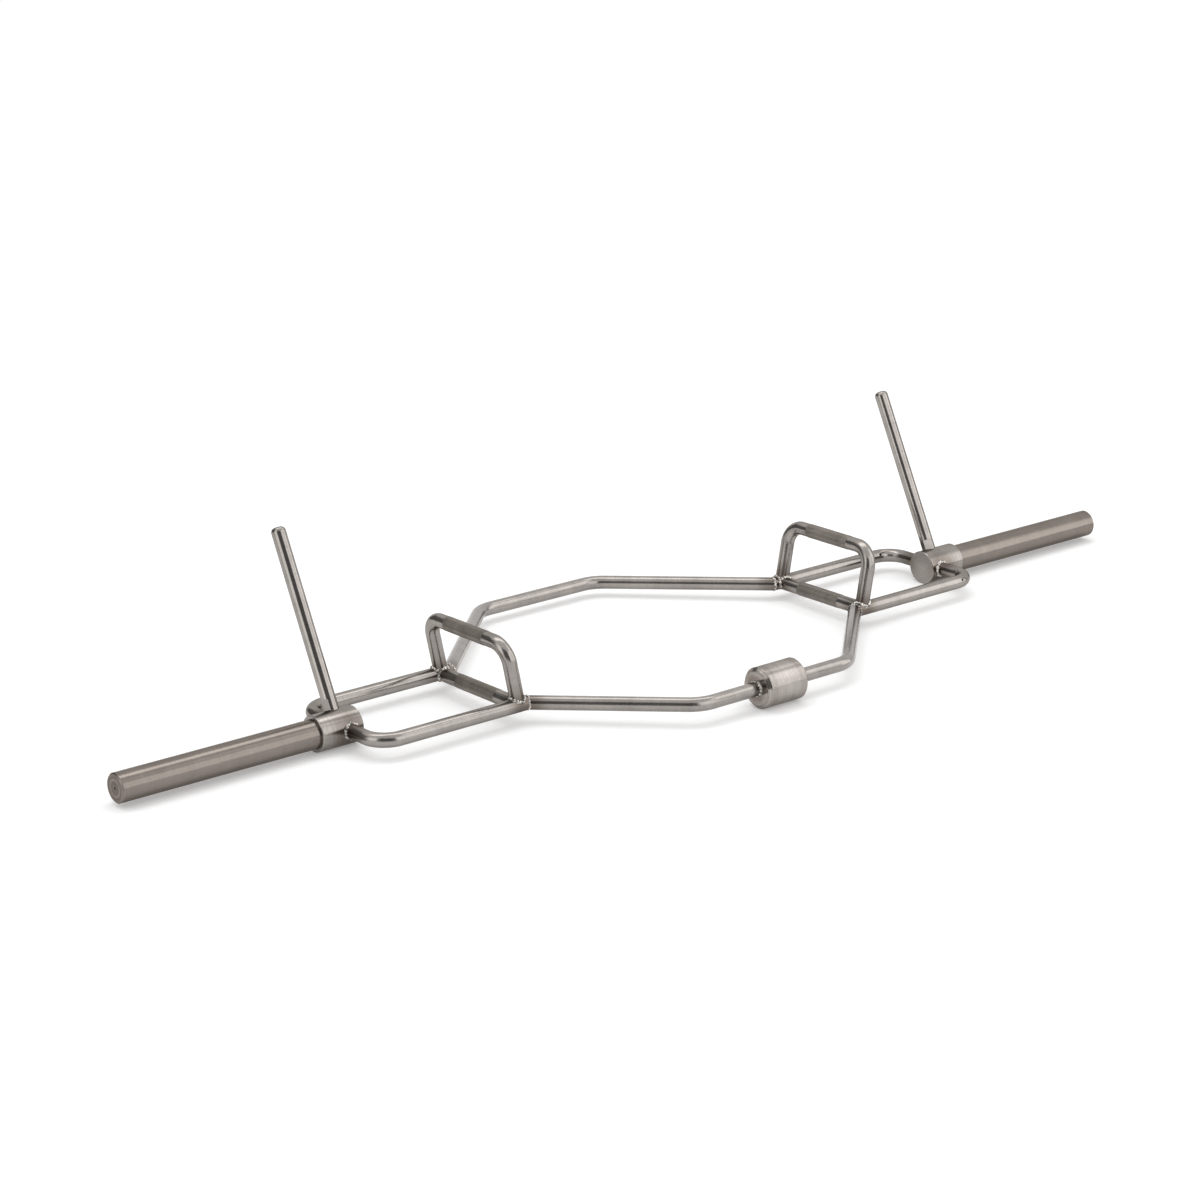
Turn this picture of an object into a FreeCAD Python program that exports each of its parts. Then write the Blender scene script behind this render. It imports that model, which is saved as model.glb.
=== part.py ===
# Hex trap bar with raised handles, a counterweight and two screw-in levers.
#
# X runs along the loading sleeves, -Y is the counterweight side, +Z is up. The bar lies as it rests
# on a floor at Z = 0: on its two collars and its counterweight. The counterweight is fatter than the
# collars, so the whole frame leans by a small angle about X, worked out from those two sizes.
import FreeCAD, Part
import math
import os
import Sketcher

doc = FreeCAD.newDocument("hex_trap_bar")

# Driving sizes, in millimetres and degrees
SIZES = {
    # Loading sleeves
    "overall_length": 2200,
    "sleeve_diameter": 50,
    "sleeve_chamfer": 2,
    "centre_hole_diameter": 6,
    "centre_hole_depth": 3,
    "spigot_diameter": 32,
    "spigot_length": 16,
    # Stop collars
    "collar_spacing": 1300,
    "collar_length": 80,
    "collar_diameter": 62,
    "collar_chamfer": 1,
    # Tube that every bent or straight run of the frame is made from
    "tube_diameter": 25,
    "tube_wall": 3,
    # Rails between the collars and the corners
    "rail_pair_width": 218,
    "rail_setback": 24,
    "rail_bend_radius": 40,
    "vent_diameter": 5,
    "vent_reach": 4,
    "vent_rise_angle": 30,
    # Grips, and the corners just inside them
    "grip_spacing": 785,
    "corner_setback": 18.5,
    "knurl_length": 106,
    "knurl_rise": 0.2,
    # Hexagon
    "diagonal_angle": 44,
    "front_depth": 310,
    "rear_depth": 343,
    "hex_bend_radius": 60,
    # Raised handles
    "handle_height": 107,
    "handle_reach": 21.5,
    "handle_inset": 2,
    "handle_bend_radius": 34,
    # Counterweight
    "weight_diameter": 72,
    "weight_length": 90,
    "weight_chamfer": 6,
    # Levers and their seats in the collars
    "lever_setback": 32.5,
    "lever_diameter": 25,
    "lever_reach": 342,
    "lever_lean_angle": 26,
    "lever_round": 8,
    "seat_depth": 3,
    "seat_clearance": 0.5,
    "thread_diameter": 16,
    "thread_length": 20,
    "thread_clearance": 0.05,
    "socket_runout": 3,
    "flat_width": 19,
    "flat_length": 20,
    "right_flat_angle": 58,
    "left_flat_angle": 10,
    # Weld beads, and how far every cut runs past what it cuts
    "weld_leg": 5,
    "rail_bead_share": 0.85,
    "leg_bead_share": 0.95,
    "bead_spread_share": 0.72,
    "overrun": 5,
}

# Sizes that follow from the driving ones
DERIVED = {
    "sleeve_radius": "sleeve_diameter / 2",
    "sleeve_end": "overall_length / 2",
    "sleeve_shoulder": "sleeve_end - sleeve_chamfer",
    "sleeve_tip_radius": "sleeve_radius - sleeve_chamfer",
    "centre_hole_radius": "centre_hole_diameter / 2",
    "centre_hole_end": "sleeve_end - centre_hole_depth",
    "collar_radius": "collar_diameter / 2",
    "collar_inner": "collar_spacing / 2",
    "collar_outer": "collar_inner + collar_length",
    "collar_inner_edge": "collar_inner + collar_chamfer",
    "collar_outer_edge": "collar_outer - collar_chamfer",
    "collar_tip_radius": "collar_radius - collar_chamfer",
    "spigot_radius": "spigot_diameter / 2",
    "spigot_end": "collar_outer - spigot_length",
    "tube_radius": "tube_diameter / 2",
    "bore_radius": "tube_radius - tube_wall",
    "rail_x": "collar_inner + rail_setback",
    "rail_y": "rail_pair_width / 2",
    "rail_bend_x": "rail_x - rail_bend_radius",
    "rail_bend_y": "rail_y - rail_bend_radius",
    "vent_radius": "vent_diameter / 2",
    "vent_x": "rail_bend_x + vent_reach",
    "grip_x": "grip_spacing / 2",
    "corner_x": "grip_x - corner_setback",
    "knurl_radius": "tube_radius + knurl_rise",
    "knurl_root": "tube_radius - tube_wall / 2",
    "mitre_angle": "diagonal_angle / 2",
    "trim_reach": "tube_diameter + overrun",
    "trim_span": "2 * trim_reach",
    "trim_top_x": "corner_x + trim_reach * sin(mitre_angle)",
    "trim_top_y": "rail_y + trim_reach * cos(mitre_angle)",
    "trim_low_x": "corner_x - trim_reach * sin(mitre_angle)",
    "trim_low_y": "rail_y - trim_reach * cos(mitre_angle)",
    "rail_trim_x": "trim_low_x - trim_reach",
    "hex_trim_x": "trim_top_x + trim_reach",
    "rail_end_x": "corner_x - tube_radius",
    "hex_end_x": "corner_x + tube_radius * cos(diagonal_angle)",
    "hex_end_y": "rail_y - tube_radius * sin(diagonal_angle)",
    "hex_tangent": "hex_bend_radius * tan(mitre_angle)",
    "handle_lean": "atan(handle_reach / handle_height)",
    "handle_top": "handle_height / cos(handle_lean)",
    "handle_y": "rail_y - handle_inset",
    "handle_bend_y": "handle_y - handle_bend_radius",
    "handle_bend_z": "handle_top - handle_bend_radius",
    "weight_radius": "weight_diameter / 2",
    "weight_end": "weight_length / 2",
    "weight_shoulder": "weight_end - weight_chamfer",
    "weight_tip_radius": "weight_radius - weight_chamfer",
    "weight_bead_end": "weight_end + weld_leg",
    "bead_radius": "tube_radius + weld_leg",
    "rail_bead_radius": "tube_radius + weld_leg * rail_bead_share",
    "leg_bead_radius": "tube_radius + weld_leg * leg_bead_share",
    "bead_spread": "2 * tube_radius * bead_spread_share",
    "bead_reach": "2 * bead_radius + overrun",
    "bead_span": "2 * bead_reach",
    "bead_waste": "2 * bead_span",
    "mitre_ring_radius": "(tube_radius + tube_radius / cos(mitre_angle)) / 2",
    "mitre_bead_radius": "weld_leg / 2",
    "collar_bead_start": "sqrt(collar_radius^2 - bead_radius^2)",
    "collar_bead_height": "collar_radius + weld_leg - collar_bead_start",
    "lever_radius": "lever_diameter / 2",
    "lever_x": "collar_inner + lever_setback",
    "lever_shoulder": "lever_reach - lever_round",
    "lever_tip_radius": "lever_radius - lever_round",
    "seat_height": "collar_radius - seat_depth",
    "seat_radius": "lever_radius + seat_clearance",
    "seat_cut": "seat_depth + overrun",
    "thread_radius": "thread_diameter / 2",
    "thread_end": "seat_height - thread_length",
    "socket_radius": "thread_radius + thread_clearance",
    "socket_depth": "thread_length + socket_runout",
    "flat_half": "flat_width / 2",
    "flat_outside": "lever_radius + overrun",
    "flat_top": "seat_height + flat_length",
    "rest_tilt": "asin((weight_radius - collar_radius) / front_depth)",
    "front_reach": "front_depth * cos(rest_tilt) + weight_radius",
    "rear_reach": "rear_depth * cos(rest_tilt) + tube_radius",
    "rest_shift": "(front_reach - rear_reach) / 2",
}
for half in ("front", "rear"):
    DERIVED[half + "_corner_x"] = f"corner_x - ({half}_depth - rail_y) / tan(diagonal_angle)"
    DERIVED[half + "_bend_x"] = f"{half}_corner_x - hex_tangent"
    DERIVED[half + "_bend_y"] = f"{half}_depth - hex_bend_radius"
    DERIVED[half + "_run_x"] = f"{half}_corner_x + hex_tangent * cos(diagonal_angle)"
    DERIVED[half + "_run_y"] = f"{half}_depth - hex_tangent * sin(diagonal_angle)"

dims = doc.addObject("Spreadsheet::Sheet", "dims")
for row, (name, text) in enumerate([*SIZES.items(), *DERIVED.items()], start=1):
    dims.set(f"A{row}", name)
    dims.set(f"B{row}", f"={text}" if name in DERIVED else str(text))
    dims.setAlias(f"B{row}", name)
doc.recompute()

ORIGIN_INDEX = -1
H_AXIS_INDEX = -1
V_AXIS_INDEX = -2
CENTRE_INDEX = 3
X_AXIS = FreeCAD.Vector(1, 0, 0)
Y_AXIS = FreeCAD.Vector(0, 1, 0)
Z_AXIS = FreeCAD.Vector(0, 0, 1)
HALF_TURN_ANGLE = 180
FULL_TURN_ANGLE = 360


def size(name):
    """The value of a cell; no name stands for zero."""
    if name is None:
        return 0.0
    value = dims.get(name)
    return float(getattr(value, "Value", value))


def turn(axis, angle):
    return FreeCAD.Placement(FreeCAD.Vector(), FreeCAD.Rotation(axis, angle))


def shift(x=0.0, y=0.0, z=0.0):
    return FreeCAD.Placement(FreeCAD.Vector(x, y, z), FreeCAD.Rotation())


# Where each copy of a repeated piece goes, before the frame is laid on the floor
REST = shift(0, size("rest_shift"), size("collar_radius")).multiply(turn(X_AXIS, -size("rest_tilt")))
AS_DRAWN = FreeCAD.Placement()
ABOUT_X = turn(X_AXIS, HALF_TURN_ANGLE)
ABOUT_Y = turn(Y_AXIS, HALF_TURN_ANGLE)
ABOUT_Z = turn(Z_AXIS, HALF_TURN_ANGLE)
LEAN_BACK = turn(X_AXIS, -size("lever_lean_angle"))

subparts = []


def finish(item, label, place):
    """Name a sub-part and lay it where it rests."""
    item.Label = label
    item.Placement = REST.multiply(place)
    subparts.append(item)


# Sketch helpers
def new_body(label):
    return doc.addObject("PartDesign::Body", label + "_body")


def origin_plane(body, role):
    return next(item for item in body.Origin.OriginFeatures if item.Role == role)


def new_sketch(body, role, name):
    sketch = body.newObject("Sketcher::SketchObject", name)
    sketch.AttachmentSupport = [(origin_plane(body, role), "")]
    sketch.MapMode = "FlatFace"
    return sketch


def drive(sketch, constraint, name):
    index = sketch.addConstraint(constraint)
    sketch.setExpression(f"Constraints[{index}]", f"dims.{name}")


def pin(sketch, geometry, corner, x_name, y_name):
    """Hold a point at two named distances from the sketch's origin."""
    for name, kind, axis in ((x_name, "DistanceX", V_AXIS_INDEX), (y_name, "DistanceY", H_AXIS_INDEX)):
        if name is None:
            sketch.addConstraint(Sketcher.Constraint("PointOnObject", geometry, corner, axis))
        else:
            offset = Sketcher.Constraint(kind, ORIGIN_INDEX, 1, geometry, corner, size(name))
            drive(sketch, offset, name)


def add_arc(sketch, start, stop, centre, radius_name):
    """A short arc between two points; returns it with the numbers of its two ends."""
    first = start - centre
    last = stop - centre
    anticlockwise = first.cross(last).z > 0
    low, high = (first, last) if anticlockwise else (last, first)
    start_angle = math.atan2(low.y, low.x)
    stop_angle = math.atan2(high.y, high.x)
    circle = Part.Circle(centre, Z_AXIS, size(radius_name))
    arc = sketch.addGeometry(Part.ArcOfCircle(circle, start_angle, stop_angle))
    drive(sketch, Sketcher.Constraint("Radius", arc, size(radius_name)), radius_name)
    return (arc, 1, 2) if anticlockwise else (arc, 2, 1)


def draw_chain(sketch, points, arcs=None, closed=True):
    """Lines through named points; arcs maps a run's number to its radius and centre."""
    arcs = arcs or {}
    spots = [FreeCAD.Vector(size(x_name), size(y_name), 0) for x_name, y_name in points]
    runs = []
    for index in range(len(points) if closed else len(points) - 1):
        start = spots[index]
        stop = spots[(index + 1) % len(spots)]
        if index in arcs:
            radius_name, centre_x, centre_y = arcs[index]
            centre = FreeCAD.Vector(size(centre_x), size(centre_y), 0)
            runs.append(add_arc(sketch, start, stop, centre, radius_name))
        else:
            runs.append((sketch.addGeometry(Part.LineSegment(start, stop)), 1, 2))
    for index, (geometry, start, stop) in enumerate(runs):
        pin(sketch, geometry, start, *points[index])
        if closed or index + 1 < len(runs):
            after, after_start, after_stop = runs[(index + 1) % len(runs)]
            sketch.addConstraint(Sketcher.Constraint("Coincident", geometry, stop, after, after_start))
        else:
            pin(sketch, geometry, stop, *points[-1])


def draw_circle(sketch, x_name, y_name, radius_name):
    centre = FreeCAD.Vector(size(x_name), size(y_name), 0)
    circle = sketch.addGeometry(Part.Circle(centre, Z_AXIS, size(radius_name)))
    drive(sketch, Sketcher.Constraint("Radius", circle, size(radius_name)), radius_name)
    pin(sketch, circle, CENTRE_INDEX, x_name, y_name)


# Feature helpers
def revolve(body, sketch, axis):
    feature = body.newObject("PartDesign::Revolution", "turned")
    feature.Profile = sketch
    feature.ReferenceAxis = (sketch, [axis])
    feature.Angle = FULL_TURN_ANGLE
    return feature


def pad_both_ways(body, sketch, length_name):
    feature = body.newObject("PartDesign::Pad", "run")
    feature.Profile = sketch
    feature.SideType = "Symmetric"
    feature.setExpression("Length", f"dims.{length_name}")
    return feature


def cut_through(body, sketch):
    feature = body.newObject("PartDesign::Pocket", "trim")
    feature.Profile = sketch
    feature.Type = "ThroughAll"
    feature.SideType = "Symmetric"
    return feature


def cut_round(body, radius_name, length_name, middle, direction, from_middle=False):
    """A round cut about a line: both ways from its middle, or from there on only."""
    feature = body.newObject("PartDesign::SubtractiveCylinder", "round_cut")
    start = middle if from_middle else middle - direction * (size(length_name) / 2)
    feature.Placement = FreeCAD.Placement(start, FreeCAD.Rotation(Z_AXIS, direction))
    feature.setExpression("Radius", f"dims.{radius_name}")
    feature.setExpression("Height", f"dims.{length_name}")
    return feature


def sweep_tube(body, role, centre, path_role, points, arcs):
    """The frame's tube along a path that starts square to the plane of its section."""
    section = new_sketch(body, role, "section")
    draw_circle(section, *centre, "tube_radius")
    draw_circle(section, *centre, "bore_radius")
    path = new_sketch(body, path_role, "path")
    draw_chain(path, points, arcs, closed=False)
    doc.recompute()
    feature = body.newObject("PartDesign::AdditivePipe", "tube")
    feature.Profile = section
    feature.Spine = (path, [f"Edge{index + 1}" for index in range(len(points) - 1)])
    return feature


def mirror(body, features, role):
    feature = body.newObject("PartDesign::Mirrored", "mirrored")
    feature.Originals = features
    feature.MirrorPlane = (origin_plane(body, role), [""])
    body.Tip = feature
    doc.recompute()


def add_knurl(body, centre):
    """The raised band that the knurling tool leaves, in the middle of a run along Y."""
    band = new_sketch(body, "XZ_Plane", "knurl_band")
    draw_circle(band, *centre, "knurl_radius")
    draw_circle(band, *centre, "knurl_root")
    pad_both_ways(body, band, "knurl_length")


# Sub-parts
def make_sleeve(label, place):
    """Solid turned bar with a spigot that sits in the collar and a centre mark in its outer end."""
    body = new_body(label)
    outline = new_sketch(body, "XY_Plane", "outline")
    draw_chain(outline, [
        ("spigot_end", None),
        ("spigot_end", "spigot_radius"),
        ("collar_outer", "spigot_radius"),
        ("collar_outer", "sleeve_radius"),
        ("sleeve_shoulder", "sleeve_radius"),
        ("sleeve_end", "sleeve_tip_radius"),
        ("sleeve_end", "centre_hole_radius"),
        ("centre_hole_end", None),
    ])
    revolve(body, outline, "H_Axis")
    finish(body, label, place)


def make_collar(label, place):
    """Solid turned block: a blind bore for the sleeve, and a flat seat and socket for the lever."""
    body = new_body(label)
    outline = new_sketch(body, "XY_Plane", "outline")
    draw_chain(outline, [
        ("collar_inner", None),
        ("collar_inner", "collar_tip_radius"),
        ("collar_inner_edge", "collar_radius"),
        ("collar_outer_edge", "collar_radius"),
        ("collar_outer", "collar_tip_radius"),
        ("collar_outer", "spigot_radius"),
        ("spigot_end", "spigot_radius"),
        ("spigot_end", None),
    ])
    revolve(body, outline, "H_Axis")
    doc.recompute()
    seat = FreeCAD.Vector(size("lever_x"), 0, size("seat_height"))
    cut_round(body, "seat_radius", "seat_cut", seat, Z_AXIS, from_middle=True)
    cut_round(body, "socket_radius", "socket_depth", seat, -Z_AXIS, from_middle=True)
    finish(body, label, place)


def make_lever(label, place):
    """Turned rod with a threaded spigot, a rounded tip and two spanner flats at its foot."""
    body = new_body(label)
    outline = new_sketch(body, "XZ_Plane", "outline")
    draw_chain(outline, [
        (None, "thread_end"),
        ("thread_radius", "thread_end"),
        ("thread_radius", "seat_height"),
        ("lever_radius", "seat_height"),
        ("lever_radius", "lever_shoulder"),
        ("lever_tip_radius", "lever_reach"),
        (None, "lever_reach"),
    ], {4: ("lever_round", "lever_tip_radius", "lever_shoulder")})
    revolve(body, outline, "V_Axis")
    flat = new_sketch(body, "XZ_Plane", "flat")
    draw_chain(flat, [
        ("flat_half", "seat_height"),
        ("flat_outside", "seat_height"),
        ("flat_outside", "flat_top"),
        ("flat_half", "flat_top"),
    ])
    doc.recompute()
    mirror(body, [cut_through(body, flat)], "YZ_Plane")
    finish(body, label, place)


def make_rail(label, place, vent_side):
    """Bent tube from a collar's flank to a corner, with a small vent hole that faces to one side and up."""
    body = new_body(label)
    sweep_tube(body, "XZ_Plane", ("rail_x", None), "XY_Plane", [
        ("rail_x", None),
        ("rail_x", "rail_bend_y"),
        ("rail_bend_x", "rail_y"),
        ("rail_end_x", "rail_y"),
    ], {1: ("rail_bend_radius", "rail_bend_x", "rail_bend_y")})
    doc.recompute()
    cope = new_sketch(body, "YZ_Plane", "collar_cope")
    draw_circle(cope, None, None, "collar_radius")
    cut_through(body, cope)
    mitre = new_sketch(body, "XY_Plane", "mitre")
    draw_chain(mitre, [
        ("trim_top_x", "trim_top_y"),
        ("rail_trim_x", "trim_top_y"),
        ("rail_trim_x", "trim_low_y"),
        ("trim_low_x", "trim_low_y"),
    ])
    cut_through(body, mitre)
    doc.recompute()
    vent = FreeCAD.Vector(size("vent_x"), size("rail_y"), 0)
    up = place.Rotation.multVec(Z_AXIS).z
    rise = turn(X_AXIS, vent_side * up * size("vent_rise_angle"))
    vent_way = rise.Rotation.multVec(Y_AXIS * vent_side)
    cut_round(body, "vent_radius", "trim_reach", vent, vent_way, from_middle=True)
    finish(body, label, place)


def make_grip(label, place):
    """Straight tube between two rails, knurled in the middle and coped to the rails at its ends."""
    body = new_body(label)
    section = new_sketch(body, "XZ_Plane", "section")
    draw_circle(section, "grip_x", None, "tube_radius")
    draw_circle(section, "grip_x", None, "bore_radius")
    pad_both_ways(body, section, "rail_pair_width")
    add_knurl(body, ("grip_x", None))
    doc.recompute()
    for side in (1, -1):
        rail = FreeCAD.Vector(size("grip_x"), side * size("rail_y"), 0)
        cut_round(body, "tube_radius", "trim_span", rail, X_AXIS)
    finish(body, label, place)


def make_handle(label, place):
    """Raised handle: a tube with two bends, knurled along its top and coped over rail and grip."""
    body = new_body(label)
    half = sweep_tube(body, "XZ_Plane", (None, "handle_top"), "YZ_Plane", [
        (None, "handle_top"),
        ("handle_bend_y", "handle_top"),
        ("handle_y", "handle_bend_z"),
        ("handle_y", None),
    ], {1: ("handle_bend_radius", "handle_bend_y", "handle_bend_z")})
    doc.recompute()
    mirror(body, [half], "XZ_Plane")
    add_knurl(body, (None, "handle_top"))
    doc.recompute()
    along_rail = turn(Y_AXIS, -size("handle_lean")).Rotation.multVec(X_AXIS)
    for side in (1, -1):
        rail = FreeCAD.Vector(0, side * size("rail_y"), 0)
        cut_round(body, "tube_radius", "trim_span", rail, along_rail)
    cut_round(body, "tube_radius", "rail_pair_width", FreeCAD.Vector(), Y_AXIS)
    finish(body, label, place)


def make_hex_tube(label, place, half):
    """One side of the hexagon: a straight run, a bend and a mitred diagonal at each end."""
    body = new_body(label)
    tube = sweep_tube(body, "YZ_Plane", (half + "_depth", None), "XY_Plane", [
        (None, half + "_depth"),
        (half + "_bend_x", half + "_depth"),
        (half + "_run_x", half + "_run_y"),
        ("hex_end_x", "hex_end_y"),
    ], {1: ("hex_bend_radius", half + "_bend_x", half + "_bend_y")})
    doc.recompute()
    mitre = new_sketch(body, "XY_Plane", "mitre")
    draw_chain(mitre, [
        ("trim_low_x", "trim_low_y"),
        ("hex_trim_x", "trim_low_y"),
        ("hex_trim_x", "trim_top_y"),
        ("trim_top_x", "trim_top_y"),
    ])
    trim = cut_through(body, mitre)
    doc.recompute()
    mirror(body, [tube, trim], "YZ_Plane")
    finish(body, label, place)


def make_counterweight(label, place):
    """Chamfered turned block, bored to slide on the front tube before that is welded in."""
    body = new_body(label)
    outline = new_sketch(body, "XY_Plane", "outline")
    draw_chain(outline, [
        (None, "tube_radius"),
        ("weight_end", "tube_radius"),
        ("weight_end", "weight_tip_radius"),
        ("weight_shoulder", "weight_radius"),
        (None, "weight_radius"),
    ])
    half = revolve(body, outline, "H_Axis")
    doc.recompute()
    mirror(body, [half], "YZ_Plane")
    finish(body, label, place)


def make_weight_weld(label, place):
    """Fillet bead round the front tube at one end of the counterweight."""
    body = new_body(label)
    outline = new_sketch(body, "XY_Plane", "outline")
    draw_chain(outline, [
        ("weight_end", "tube_radius"),
        ("weight_bead_end", "tube_radius"),
        ("weight_end", "bead_radius"),
    ])
    revolve(body, outline, "H_Axis")
    finish(body, label, place)


# Weld beads made from round bars, each cut by the pieces that it joins
def round_bar(radius_name, length_name, start, direction):
    bar = doc.addObject("Part::Cylinder", "bar")
    bar.setExpression("Radius", f"dims.{radius_name}")
    bar.setExpression("Height", f"dims.{length_name}")
    bar.Placement = FreeCAD.Placement(start, FreeCAD.Rotation(Z_AXIS, direction))
    return bar


def block(middle, length_name, width_name, height_name, rotation=FreeCAD.Rotation()):
    """A box about its middle."""
    item = doc.addObject("Part::Box", "block")
    item.setExpression("Length", f"dims.{length_name}")
    item.setExpression("Width", f"dims.{width_name}")
    item.setExpression("Height", f"dims.{height_name}")
    corner = FreeCAD.Vector(size(length_name), size(width_name), size(height_name)) / 2
    item.Placement = FreeCAD.Placement(middle - rotation.multVec(corner), rotation)
    return item


def combine(kind, items):
    result = doc.addObject("Part::" + kind, "joined")
    result.Shapes = items
    return result


def cut_away(base, *tools):
    for tool in tools:
        result = doc.addObject("Part::Cut", "bead")
        result.Base = base
        result.Tool = tool
        base = result
    return base


def make_collar_weld(label, place):
    """Fillet bead round the end of a rail on the flank of its collar."""
    cone = doc.addObject("Part::Cone", "fillet")
    cone.setExpression("Radius1", "dims.bead_radius")
    cone.setExpression("Radius2", "dims.tube_radius")
    cone.setExpression("Height", "dims.collar_bead_height")
    start = FreeCAD.Vector(size("rail_x"), size("collar_bead_start"), 0)
    cone.Placement = FreeCAD.Placement(start, FreeCAD.Rotation(Z_AXIS, Y_AXIS))
    rail_foot = FreeCAD.Vector(size("rail_x"), 0, 0)
    rail = round_bar("tube_radius", "rail_y", rail_foot, Y_AXIS)
    collar_end = FreeCAD.Vector(size("collar_inner"), 0, 0)
    collar = round_bar("collar_radius", "collar_length", collar_end, X_AXIS)
    finish(cut_away(cone, rail, collar), label, place)


def make_mitre_ring(corner, along_rail, down_diagonal):
    """Bead round the mitre of a rail and a diagonal."""
    across = (along_rail - down_diagonal).normalize()
    ring = doc.addObject("Part::Torus", "ring")
    ring.setExpression("Radius1", "dims.mitre_ring_radius")
    ring.setExpression("Radius2", "dims.mitre_bead_radius")
    ring.Placement = FreeCAD.Placement(corner, FreeCAD.Rotation(Z_AXIS, across))
    square_on = FreeCAD.Rotation(X_AXIS, across)
    tubes = []
    for outward, beyond in ((along_rail, -across), (down_diagonal, across)):
        tube = round_bar("tube_radius", "bead_span", corner - outward * size("bead_reach"), outward)
        middle = corner + beyond * (size("bead_waste") / 2)
        waste = block(middle, "bead_waste", "bead_waste", "bead_waste", square_on)
        tubes.append(cut_away(tube, waste))
    return cut_away(ring, *tubes)


def make_corner_weld(label, side_x, side_y):
    """Beads where a rail, a diagonal, a grip and a handle's leg meet."""
    corner = FreeCAD.Vector(side_x * size("corner_x"), side_y * size("rail_y"), 0)
    joint = FreeCAD.Vector(side_x * size("grip_x"), side_y * size("rail_y"), 0)
    foot = FreeCAD.Vector(side_x * size("grip_x"), side_y * size("handle_y"), 0)
    along_rail = X_AXIS * side_x
    along_grip = Y_AXIS * -side_y
    up_leg = turn(Y_AXIS, side_x * size("handle_lean")).Rotation.multVec(Z_AXIS)
    diagonal_turn = turn(Z_AXIS, -side_x * side_y * size("diagonal_angle"))
    down_diagonal = diagonal_turn.Rotation.multVec(-along_rail)

    rail_start = joint - along_rail * size("bead_reach")
    fat_rail = round_bar("rail_bead_radius", "bead_span", rail_start, along_rail)
    fat_grip = round_bar("bead_radius", "bead_reach", joint, along_grip)
    fat_leg = round_bar("leg_bead_radius", "bead_radius", foot, up_leg)
    beads = combine("MultiFuse", [
        combine("MultiCommon", [fat_grip, fat_rail, block(joint, "bead_span", "bead_span", "bead_spread")]),
        combine("MultiCommon", [fat_leg, fat_rail, block(foot, "bead_span", "bead_spread", "bead_span")]),
        combine("MultiCommon", [fat_leg, fat_grip, block(foot, "bead_spread", "bead_span", "bead_span")]),
    ])
    rail = round_bar("tube_radius", "bead_span", rail_start, along_rail)
    grip = round_bar("tube_radius", "bead_reach", joint, along_grip)
    leg = round_bar("tube_radius", "bead_reach", foot, up_leg)
    crotch = cut_away(beads, leg, rail, grip)
    mitre = cut_away(make_mitre_ring(corner, along_rail, down_diagonal), leg, grip)
    finish(combine("MultiFuse", [crotch, mitre]), label, AS_DRAWN)


# The bar, piece by piece
INNER_SIDE = -1
OUTER_SIDE = 1
CORNERS = {
    "right_rear": (AS_DRAWN, 1, 1, INNER_SIDE),
    "right_front": (ABOUT_X, 1, -1, OUTER_SIDE),
    "left_rear": (ABOUT_Y, -1, 1, INNER_SIDE),
    "left_front": (ABOUT_Z, -1, -1, INNER_SIDE),
}
for side, place, side_x in (("right", AS_DRAWN, 1), ("left", ABOUT_Z, -1)):
    make_sleeve(side + "_sleeve", place)
    make_collar(side + "_collar", LEAN_BACK.multiply(place))
    lever_place = shift(side_x * size("lever_x")).multiply(turn(Z_AXIS, size(side + "_flat_angle")))
    make_lever(side + "_lever", LEAN_BACK.multiply(lever_place))
    make_grip(side + "_low_grip", place)
    lean_out = shift(size("grip_x")).multiply(turn(Y_AXIS, size("handle_lean")))
    make_handle(side + "_high_handle", place.multiply(lean_out))
    weight_place = ABOUT_X.multiply(shift(0, size("front_depth"))).multiply(place)
    make_weight_weld(f"counterweight_{side}_weld", weight_place)
for corner, (place, side_x, side_y, vent_side) in CORNERS.items():
    make_rail(corner + "_rail", place, vent_side)
make_hex_tube("front_hex_tube", ABOUT_X, "front")
make_hex_tube("rear_hex_tube", AS_DRAWN, "rear")
make_counterweight("counterweight", ABOUT_X.multiply(shift(0, size("front_depth"))))
for corner, (place, side_x, side_y, vent_side) in CORNERS.items():
    make_collar_weld(corner + "_rail_weld", place)
    make_corner_weld(corner + "_corner_weld", side_x, side_y)

doc.recompute()
for item in doc.Objects:
    if "Invalid" in item.State or "Error" in item.State:
        raise RuntimeError(f"{item.Label} failed: {item.State}")
for item in subparts:
    if item.Shape.isNull() or not item.Shape.isValid():
        raise RuntimeError(f"{item.Label} has no valid shape")

os.makedirs("parts", exist_ok=True)
for item in subparts:
    item.Shape.exportStep(f"parts/{item.Label}.step")
    print(f"{item.Label}: {len(item.Shape.Solids)} solid(s), {item.Shape.Volume:.0f} mm3")
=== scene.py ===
import math
import random

import bpy
from mathutils import Matrix, Vector


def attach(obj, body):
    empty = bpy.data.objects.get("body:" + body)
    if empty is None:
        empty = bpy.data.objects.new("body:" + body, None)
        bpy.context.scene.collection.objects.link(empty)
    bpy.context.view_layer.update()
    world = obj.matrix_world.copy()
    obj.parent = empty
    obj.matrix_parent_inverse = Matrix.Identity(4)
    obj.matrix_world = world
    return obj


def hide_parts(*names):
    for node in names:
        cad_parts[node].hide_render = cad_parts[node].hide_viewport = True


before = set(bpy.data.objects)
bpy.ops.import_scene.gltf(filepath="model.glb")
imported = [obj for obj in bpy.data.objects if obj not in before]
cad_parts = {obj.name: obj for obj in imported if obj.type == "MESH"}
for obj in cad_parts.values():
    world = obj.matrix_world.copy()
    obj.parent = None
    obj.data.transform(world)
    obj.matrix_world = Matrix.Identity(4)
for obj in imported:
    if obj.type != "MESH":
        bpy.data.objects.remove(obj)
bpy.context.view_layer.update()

# Lengths of the bar in millimetres, as in the solids
MM = 0.001
TUBE_RADIUS = 12.5
COLLAR_RADIUS = 31.0
RAIL_X = 674.0
RAIL_Y = 109.0
GRIP_X = 392.5
CORNER_SETBACK = 18.5
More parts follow.
